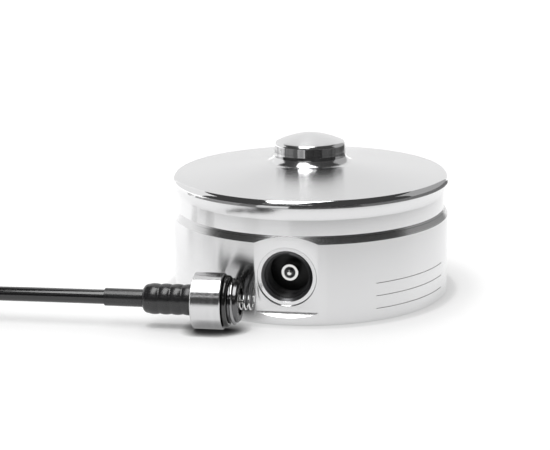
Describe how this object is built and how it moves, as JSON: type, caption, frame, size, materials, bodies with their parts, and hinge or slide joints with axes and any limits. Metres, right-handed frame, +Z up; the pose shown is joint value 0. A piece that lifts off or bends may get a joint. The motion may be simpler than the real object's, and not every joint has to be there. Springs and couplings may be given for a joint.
{
  "type": "weighing load cell",
  "caption": "Low cylindrical compression load cell of stainless steel with a domed load button, a screw socket in its wall and an unplugged coaxial lead with a bayonet plug",
  "frame": {"origin": "Middle of the cell's foot on the surface that it stands on", "axes": "+Z is up along the cell's own axis, -Y points out of the lead socket, and the lead lies towards -X"},
  "size_m": [0.2684, 0.1162, 0.0575],
  "materials": {
    "turned_steel": "stainless steel, fine turned lines, bright satin",
    "plug_steel": "stainless steel, turned, brighter on the thread",
    "carrier_steel": "ground steel",
    "screw_steel": "plain stainless screws",
    "bright_metal": "nickel plated",
    "spring_steel": "drawn spring wire, bright",
    "white_ceramic": "fired alumina, matt",
    "white_insulator": "white fluoropolymer",
    "wire_insulation": "thin insulated wire",
    "board_laminate": "green solder mask",
    "chip_plastic": "moulded black packages",
    "seal_glass": "dark fused glass",
    "seal_rubber": "black sealing ring, dull",
    "sleeve_plastic": "black shrink tube, soft sheen",
    "cable_jacket": "black glossy jacket",
    "tie_plastic": "black hook and loop band"
  },
  "bodies": {
    "root": {"load_body": "turned_steel", "base_cover": "turned_steel", "sensor_carrier": "carrier_steel", "carrier_screws": "screw_steel", "ceramic_sensor": "white_ceramic", "clamp_ring": "carrier_steel", "clamp_screws": "screw_steel", "sensor_leads": "wire_insulation", "circuit_board": "board_laminate", "board_components": "chip_plastic", "board_standoffs": "bright_metal", "board_screws": "screw_steel", "signal_lead": "wire_insulation", "feedthrough_eyelet": "bright_metal", "feedthrough_glass": "seal_glass", "feedthrough_pin": "bright_metal", "plug_body": "plug_steel", "plug_o_ring": "seal_rubber", "plug_insulator": "white_insulator", "contact_spring": "spring_steel", "centre_contact": "bright_metal", "shrink_sleeve": "sleeve_plastic", "cable": "cable_jacket", "cable_coil": "cable_jacket", "cable_tail": "cable_jacket", "coil_ties": "tie_plastic", "far_plug_ferrule": "bright_metal", "far_plug_body": "bright_metal", "far_plug_coupling": "bright_metal", "far_plug_insulator": "white_insulator", "far_plug_pin": "bright_metal"}
  },
  "joints": []
}
